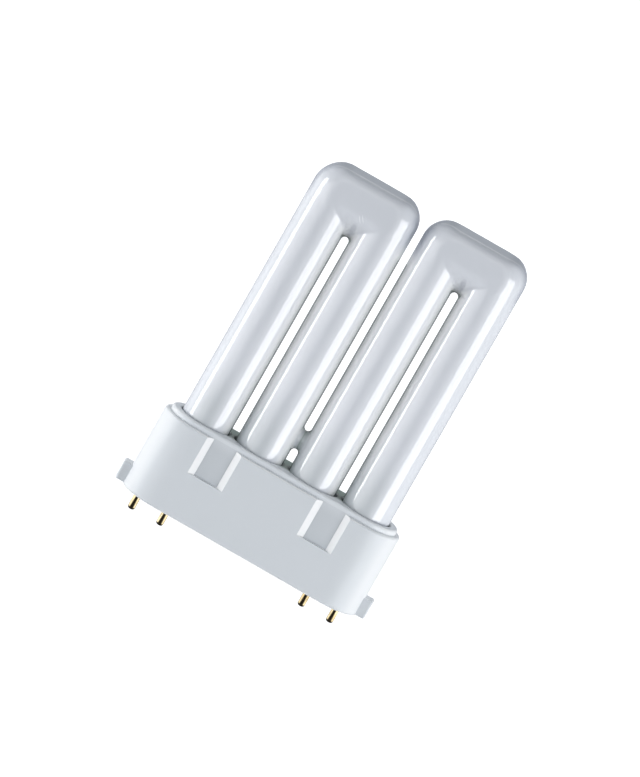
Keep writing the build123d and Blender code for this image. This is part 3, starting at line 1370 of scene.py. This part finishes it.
@dataclass
class RowOfFour:
    """Four like pieces in one row, the same on both sides of the middle."""

    outer_place: float
    inner_place: float

    @staticmethod
    def tree() -> GeometryGraph:
        """Builds the tree that repeats a mesh at four places along X.

        Returns:
            The tree.
        """
        graph = GeometryGraph("row_of_four", takes_mesh=True)
        outer = graph.size("Outer Place")
        inner = graph.size("Inner Place")
        number = graph.index() - 1.5
        far = graph.math("GREATER_THAN", graph.math("ABSOLUTE", number), 1.0)
        points = graph.line(4, graph.math("SIGN", number) * graph.mix(inner, outer, far))
        copies = graph.add("GeometryNodeInstanceOnPoints", {
            "Points": points, "Instance": graph.given.outputs["Geometry"]})
        graph.finish(copies.outputs[0])
        return graph

    def repeat(self, tree: GeometryGraph, source: bpy.types.Mesh,
               material: bpy.types.Material) -> bpy.types.Mesh:
        """Repeats one mesh along the row.

        Args:
            tree: The row's tree.
            source: One of the four, at the origin.
            material: Finish of all four.

        Returns:
            All four as one mesh.
        """
        return tree.make({"Outer Place": self.outer_place, "Inner Place": self.inner_place}, material, source)


@dataclass
class ContactPins:
    """Four turned brass pins."""

    radius: float = 1.15 * MM
    length: float = 6.0 * MM
    tip: float = 0.8 * MM
    tip_steps: int = 8
    root_radius: float = 1.45 * MM
    flange_z: float = 3.0 * MM
    flange_radius: float = 2.1 * MM
    flange_thickness: float = 0.8 * MM
    barrel_radius: float = 0.95 * MM
    barrel_length: float = 2.6 * MM
    hole_radius: float = 0.35 * MM
    hole_depth: float = 2.0 * MM
    broken_edge: float = 0.08 * MM
    segments: int = 48
    sharp_angle: float = math.radians(35)
    row: RowOfFour = field(default_factory=lambda: RowOfFour(33.625 * MM, 24.025 * MM))

    def _profile(self) -> list[Span]:
        """Lists the outline of one pin.

        Returns:
            Radius and height, from the tip up the outside and down the wire hole.
        """
        flat = self.radius - self.tip
        turns = [math.pi / 2 * step / self.tip_steps for step in range(self.tip_steps + 1)]
        barrel_z = self.flange_z + self.flange_thickness
        barrel_top = barrel_z + self.barrel_length
        edge = self.broken_edge
        return [
            (0.0, -self.length),
            *((flat + self.tip * math.sin(turn), -self.length + self.tip * (1 - math.cos(turn)))
              for turn in turns),
            (self.radius, 0.0),
            (self.root_radius - edge, 0.0),
            (self.root_radius, edge),
            (self.root_radius, self.flange_z),
            (self.flange_radius - edge, self.flange_z),
            (self.flange_radius, self.flange_z + edge),
            (self.flange_radius, barrel_z - edge),
            (self.flange_radius - edge, barrel_z),
            (self.barrel_radius, barrel_z),
            (self.barrel_radius, barrel_top - edge),
            (self.barrel_radius - edge, barrel_top),
            (self.hole_radius, barrel_top),
            (self.hole_radius, barrel_top - self.hole_depth),
            (0.0, barrel_top - self.hole_depth),
        ]

    def build(self, finish: WorkedMetal, effects: SharedEffects, tree: GeometryGraph) -> None:
        """Makes the pins and sets them in place of their solids.

        Args:
            finish: Finish of the pins.
            effects: The shared node groups.
            tree: The row's tree.
        """
        material = finish.material(effects)
        row = self.row.repeat(tree, Workshop.lathe("turned_pin", self._profile(), self.segments), material)
        pins = Workshop.join("contact_pins", [row], material, self.sharp_angle)
        Workshop.mount(pins, finish.slot, *four("contact_pin"))


@dataclass
class CementRings:
    """Four rings of cement between the legs and the holder, with a sunken upper face."""

    inside: float = 7.85 * MM
    outside: float = 8.30 * MM
    bottom: float = 18.4 * MM
    top: float = 26.4 * MM
    sag: float = 0.12 * MM
    bore_shift: float = 0.3 * MM
    segments: int = 72
    sharp_angle: float = math.radians(35)
    row: RowOfFour = field(default_factory=lambda: RowOfFour(27.025 * MM, 8.975 * MM))

    def build(self, finish: BasingCement, effects: SharedEffects, tree: GeometryGraph) -> None:
        """Makes the rings and sets them in place of their solids.

        The outsides of the inner rings are shifted outwards with their bores.

        Args:
            finish: Finish of the cement.
            effects: The shared node groups.
            tree: The row's tree.
        """
        outline = [
            (self.inside, self.bottom),
            (self.outside, self.bottom),
            (self.outside, self.top),
            ((self.inside + self.outside) / 2, self.top - self.sag),
            (self.inside, self.top),
        ]
        material = finish.material(effects)
        row = self.row.repeat(tree, Workshop.lathe("cement_ring", outline, self.segments), material)
        for vertex in row.vertices:
            side = math.copysign(1.0, vertex.co.x)
            away = math.hypot(vertex.co.x - side * self.row.inner_place, vertex.co.y)
            if away < self.row.inner_place:
                share = (away - self.inside) / (self.outside - self.inside)
                vertex.co.x += side * share * self.bore_shift
        rings = Workshop.join("cement_rings", [row], material, self.sharp_angle)
        Workshop.mount(rings, finish.slot, *four("cement"))


@dataclass
class LeadWires:
    """Four lead wires from the pinch seals down into the pins."""

    radius: float = 0.3 * MM
    seal_places: Span = (29.625 * MM, 24.425 * MM)
    pin_places: Span = (33.625 * MM, 24.025 * MM)
    seal_foot: float = 11.4 * MM
    straight: float = 1.3 * MM
    barrel_top: float = 6.4 * MM
    depth: float = 2.0 * MM
    bend: float = 0.9 * MM
    bend_steps: int = 8
    columns: int = 16
    sharp_angle: float = math.radians(40)

    def _tree(self) -> GeometryGraph:
        """Builds the tree of one wire and its fellow at the other end of the base.

        Returns:
            The tree.
        """
        graph = GeometryGraph("lead_wire")
        seal, pin = graph.size("Seal Place"), graph.size("Pin Place")
        foot, straight = graph.size("Seal Foot"), graph.size("Straight")
        barrel, depth = graph.size("Barrel Top"), graph.size("Depth")
        number = graph.index()
        lower = graph.math("GREATER_THAN", number, 1.5)
        first = graph.math("LESS_THAN", number, 0.5)
        last = graph.math("GREATER_THAN", number, 2.5)
        height = (graph.mix(foot - straight, barrel + straight, lower)
                  + first * straight - last * (straight + depth))
        route = graph.line(4, graph.mix(seal, pin, lower), height)
        curve = graph.add("GeometryNodeMeshToCurve", {"Mesh": route})
        bent = graph.add("GeometryNodeFilletCurve", {
            "Curve": curve.outputs[0], "Radius": graph.size("Bend"), "Count": self.bend_steps}, mode="POLY")
        section = graph.add("GeometryNodeCurvePrimitiveCircle", {
            "Resolution": self.columns, "Radius": graph.size("Radius")})
        wire = graph.add("GeometryNodeCurveToMesh", {
            "Curve": bent.outputs[0], "Profile Curve": section.outputs[0], "Fill Caps": True}).outputs[0]
        pair = graph.add("GeometryNodeJoinGeometry")
        for end in (wire, graph.turn(wire, math.pi)):
            graph.tree.links.new(end, pair.inputs[0])
        graph.finish(pair.outputs[0])
        return graph

    def build(self, finish: WorkedMetal, effects: SharedEffects) -> None:
        """Makes the wires and sets them in place of their solids.

        Args:
            finish: Finish of the wires.
            effects: The shared node groups.
        """
        material = finish.material(effects)
        tree = self._tree()
        pairs = [tree.make({
            "Seal Place": seal, "Pin Place": pin, "Seal Foot": self.seal_foot, "Straight": self.straight,
            "Barrel Top": self.barrel_top, "Depth": self.depth, "Bend": self.bend, "Radius": self.radius,
        }, material) for seal, pin in zip(self.seal_places, self.pin_places)]
        wires = Workshop.join("lead_wires", pairs, material, self.sharp_angle)
        Workshop.mount(wires, finish.slot, *four("lead_wire"))


@dataclass
class PlugBase:
    """The two mouldings of the base, which keep their solids."""

    nodes: tuple[str, ...] = ("base_housing", "tube_holder")

    def dress(self, finish: MouldedPlastic, effects: SharedEffects) -> None:
        """Gives the mouldings their finish.

        Args:
            finish: Finish of both mouldings.
            effects: The shared node groups.
        """
        material = finish.material(effects)
        for name in self.nodes:
            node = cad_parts[name]
            node.data.materials.clear()
            node.data.materials.append(material)
            LOG.info("%s: keeps its solid, in %s", name, finish.name)


# Studio


@dataclass
class Softbox:
    """One rectangular studio lamp that is aimed at the glass."""

    name: str
    azimuth: float
    width: float
    radiance: float
    height: float = 0.015
    tall: float = 0.29
    distance: float = 0.7
    mirrored: bool = True

    def hang(self, aim: Vector) -> None:
        """Makes the lamp.

        Args:
            aim: Point on the lamp's axis, which it faces from its own height.
        """
        light = bpy.data.lights.new(self.name, "AREA")
        light.shape = "RECTANGLE"
        light.size, light.size_y = self.width, self.tall
        light.energy = self.radiance * math.pi * self.width * self.tall
        lamp = Workshop.link(self.name, light)
        turn = math.radians(self.azimuth)
        back = Vector((math.sin(turn), -math.cos(turn), 0.0))
        lamp.location = aim + back * self.distance
        lamp.location.z = self.height
        lamp.rotation_mode = "QUATERNION"
        lamp.rotation_quaternion = back.to_track_quat("Z", "Y")
        lamp.visible_camera = False
        lamp.visible_glossy = self.mirrored


@dataclass
class Studio:
    """White floor and surroundings, a lit ring with a dark front and a grey card behind, lamps and camera.

    Two lamps show as streaks in the glass. Two more light the back, and don't show in mirror images.
    Azimuths are in degrees from the front, and positive on the right.
    """

    floor_drop: float = 0.25
    floor_reach: float = 9.0
    paint: Colour = (0.65, 0.65, 0.66, 1.0)
    near_glow: float = 0.72
    far_glow: float = 1.0
    glow_fade: Span = (0.35, 0.9)
    side_glow: float = 1.6
    side_glow_fade: Span = (0.55, 0.95)
    floor_gloss: float = 0.06
    mirrored_floor: Span = (1.4, 1.8)
    tint: Colour = (0.92, 0.98, 1.06, 1.0)
    front_level: float = 0.12
    side_level: float = 1.0
    back_level: float = 0.5
    back_fade: Span = (0.0, 0.8)
    side_fade: Span = (0.35, 0.7)
    side_front: Span = (-0.2, 0.3)
    overhead: float = 0.36
    overhead_fade: Span = (0.25, 0.7)
    elevation: float = math.radians(11.0)
    roll: float = math.radians(29.8)
    lens: float = 800.0
    sensor: float = 36.0
    clip: Span = (0.05, 50.0)
    frame_height: float = 228.5 * MM
    target: Vector = field(default_factory=lambda: Vector((-2.71 * MM, 0.0, 53.6 * MM)))
    ring_radius: float = 0.80
    ring_low: float = -0.135
    ring_high: float = 0.10
    ring_columns: int = 144
    card_high: float = 0.32
    card_span: Span = (105.0, 130.0)
    ring_peak: float = 3.4
    ring_stops: tuple[Span, ...] = (
        (-180.0, 0.12), (-152.0, 0.13), (-128.0, 0.27), (-106.0, 0.70), (-88.0, 0.60), (-60.0, 1.0),
        (-35.0, 0.66), (-23.0, 0.42), (-11.5, 0.10), (0.0, 0.0), (11.5, 0.12), (23.0, 0.32), (35.0, 0.60),
        (79.0, 0.65), (89.0, 0.48), (106.0, 0.40), (128.0, 0.22), (152.0, 0.13), (180.0, 0.12))
    aim: Vector = field(default_factory=lambda: Vector((0.0, 0.0, 65.0 * MM)))
    lamps: tuple[Softbox, ...] = field(default_factory=lambda: (
        Softbox("strip_left", azimuth=-78.5, width=0.209, radiance=7.0),
        *(Softbox(name, azimuth=azimuth, width=0.4, radiance=2.4, height=0.08, tall=0.3, mirrored=False)
          for name, azimuth in (("fill_left", -146.0), ("fill_right", 146.0))),
        Softbox("softbox_right", azimuth=59.5, width=0.468, radiance=4.3),
    ))

    def _world(self) -> None:
        """Builds the surroundings: white where seen, and dimmer on the camera's side for the light."""
        world = bpy.data.worlds.new("studio")
        bpy.context.scene.world = world
        world.use_nodes = True
        graph = ShaderGraph(world.node_tree)
        way = graph.axes(graph.add("ShaderNodeTexCoord").outputs["Generated"])
        path = graph.add("ShaderNodeLightPath").outputs
        middle = graph.spread(way["Y"], self.front_level, self.back_level, self.back_fade)
        aside = graph.all_of(graph.fade_in(graph.distance(way["X"]), self.side_fade),
                             graph.fade_in(way["Y"], self.side_front))
        around = graph.mix(aside, middle, self.side_level)
        level = graph.mix(graph.fade_in(way["Z"], self.overhead_fade), around, self.overhead)
        seen = graph.any_of(path["Is Camera Ray"], path["Is Transmission Ray"], path["Is Glossy Ray"])
        light = graph.add("ShaderNodeBackground", {
            "Color": graph.blend(seen, self.tint, WHITE), "Strength": graph.mix(seen, level, 1.0)})
        graph.add("ShaderNodeOutputWorld", {"Surface": light.outputs[0]})

    @staticmethod
    def _stand(name: str, spots: Sequence[Triple], faces: Sequence[Sequence[int]],
               material: bpy.types.Material) -> bpy.types.Object:
        """Makes one object of the studio.

        Args:
            name: Name of the object.
            spots: Its vertices.
            faces: Its faces.
            material: Its finish.

        Returns:
            The object.
        """
        mesh = bpy.data.meshes.new(name)
        mesh.from_pydata(spots, [], faces)
        mesh.materials.append(material)
        return Workshop.link(name, mesh)

    def _floor(self) -> None:
        """Builds the pale floor, which reads as white and keeps a faint shadow."""
        material, graph = new_material("pale_floor")
        path = graph.add("ShaderNodeLightPath").outputs
        place = graph.add("ShaderNodeTexCoord").outputs["Object"]
        away = graph.add("ShaderNodeVectorMath", {0: place}, operation="LENGTH").outputs["Value"]
        far = graph.all_of(path["Is Glossy Ray"], graph.fade_in(away, self.mirrored_floor))
        seen = graph.any_of(path["Is Camera Ray"], path["Is Transmission Ray"], far)
        shade = graph.mix(path["Is Glossy Ray"], 1.0, self.floor_gloss)
        paint = graph.add("ShaderNodeBsdfDiffuse", {"Color": graph.blend(shade, BLACK, self.paint)})
        level = graph.spread(away, self.near_glow, self.far_glow, self.glow_fade)
        aside = graph.distance(graph.axes(place)["X"])
        mirrored = graph.all_of(path["Is Glossy Ray"],
                                graph.spread(aside, 0.0, self.side_glow, self.side_glow_fade))
        glow = graph.add("ShaderNodeEmission", {
            "Strength": graph.math("MULTIPLY_ADD", seen, level, mirrored)})
        graph.show("ShaderNodeAddShader", {0: paint.outputs[0], 1: glow.outputs[0]})
        corners = [(x * self.floor_reach, y * self.floor_reach, -self.floor_drop)
                   for x, y in ((-1, -1), (1, -1), (1, 1), (-1, 1))]
        floor = self._stand("floor", corners, [(0, 1, 2, 3)], material)

    def _ring(self) -> None:
        """Builds the lit ring, dark on the camera's side, a grey card behind, and hidden from the camera."""
        material, graph = new_material("lit_ring")
        place = graph.axes(graph.add("ShaderNodeTexCoord").outputs["Object"])
        turn = graph.math("ARCTAN2", place["X"], graph.math("MULTIPLY", place["Y"], -1.0))
        ramp = graph.add("ShaderNodeValToRGB", {0: graph.math("MULTIPLY_ADD", turn, 1.0 / math.tau, 0.5)})
        stops = ramp.color_ramp.elements
        while len(stops) < len(self.ring_stops):
            stops.new(0.5)
        for stop, (azimuth, level) in zip(stops, self.ring_stops):
            stop.position = azimuth / 360.0 + 0.5
            shares = self.tint if abs(azimuth) > self.card_span[1] else WHITE
            stop.color = (*(level * share for share in shares[:3]), 1.0)
        graph.show("ShaderNodeEmission", {"Color": ramp.outputs["Color"], "Strength": self.ring_peak})

        count = self.ring_columns
        start, end = self.card_span
        low, high = [], []
        for step in range(count):
            angle = math.tau * step / count
            x, y = self.ring_radius * math.sin(angle), -self.ring_radius * math.cos(angle)
            azimuth = abs(math.remainder(math.degrees(angle), 360.0))
            card = min(max((azimuth - start) / (end - start), 0.0), 1.0)
            low.append((x, y, self.ring_low))
            high.append((x, y, self.ring_high + (self.card_high - self.ring_high) * card))
        faces = [(count + i, count + (i + 1) % count, (i + 1) % count, i) for i in range(count)]
        ring = self._stand("light_ring", low + high, faces, material)
        ring.visible_camera = False

    def _camera(self) -> None:
        """Sets the camera at the photograph's angle, far off with a long lens."""
        data = bpy.data.cameras.new("camera")
        data.lens, data.sensor_width = self.lens, self.sensor
        data.clip_start, data.clip_end = self.clip
        back = Vector((0.0, -math.cos(self.elevation), math.sin(self.elevation)))
        level = Vector((1.0, 0.0, 0.0))
        upward = Vector((0.0, math.sin(self.elevation), math.cos(self.elevation)))
        right = level * math.cos(self.roll) + upward * math.sin(self.roll)
        up = upward * math.cos(self.roll) - level * math.sin(self.roll)
        camera = Workshop.link("camera", data)
        turned = Matrix((right, up, back)).transposed().to_4x4()
        distance = self.frame_height * self.lens / self.sensor
        camera.matrix_world = Matrix.Translation(self.target + back * distance) @ turned
        bpy.context.scene.camera = camera

    def build(self) -> None:
        """Sets up the whole studio."""
        bpy.context.scene.view_settings.view_transform = "Standard"
        self._world()
        self._floor()
        self._ring()
        for lamp in self.lamps:
            lamp.hang(self.aim)
        self._camera()
        LOG.info("studio: %d lamps, floor %.0f mm below the seat", len(self.lamps), self.floor_drop / MM)


def main() -> None:
    """Builds the lamp's pieces in order, then the studio round them."""
    logging.basicConfig(level=logging.INFO, format="%(name)s: %(message)s")
    effects = SharedEffects()
    row = RowOfFour.tree()
    brass = WorkedMetal()
    drawn = replace(brass, name="drawn_wire", slot=Slot.WIRE, stretch=(12.0, 12.0, 1.0), mottle=replace(
        brass.mottle, light=(0.70, 0.68, 0.65, 1.0), dark=(0.52, 0.50, 0.47, 1.0)))
    DischargeTube().build(CoatedGlass(), effects)
    ContactPins().build(brass, effects, row)
    CementRings().build(BasingCement(), effects, row)
    LeadWires().build(drawn, effects)
    PlugBase().dress(MouldedPlastic(), effects)
    Studio().build()


if __name__ == "__main__":
    main()
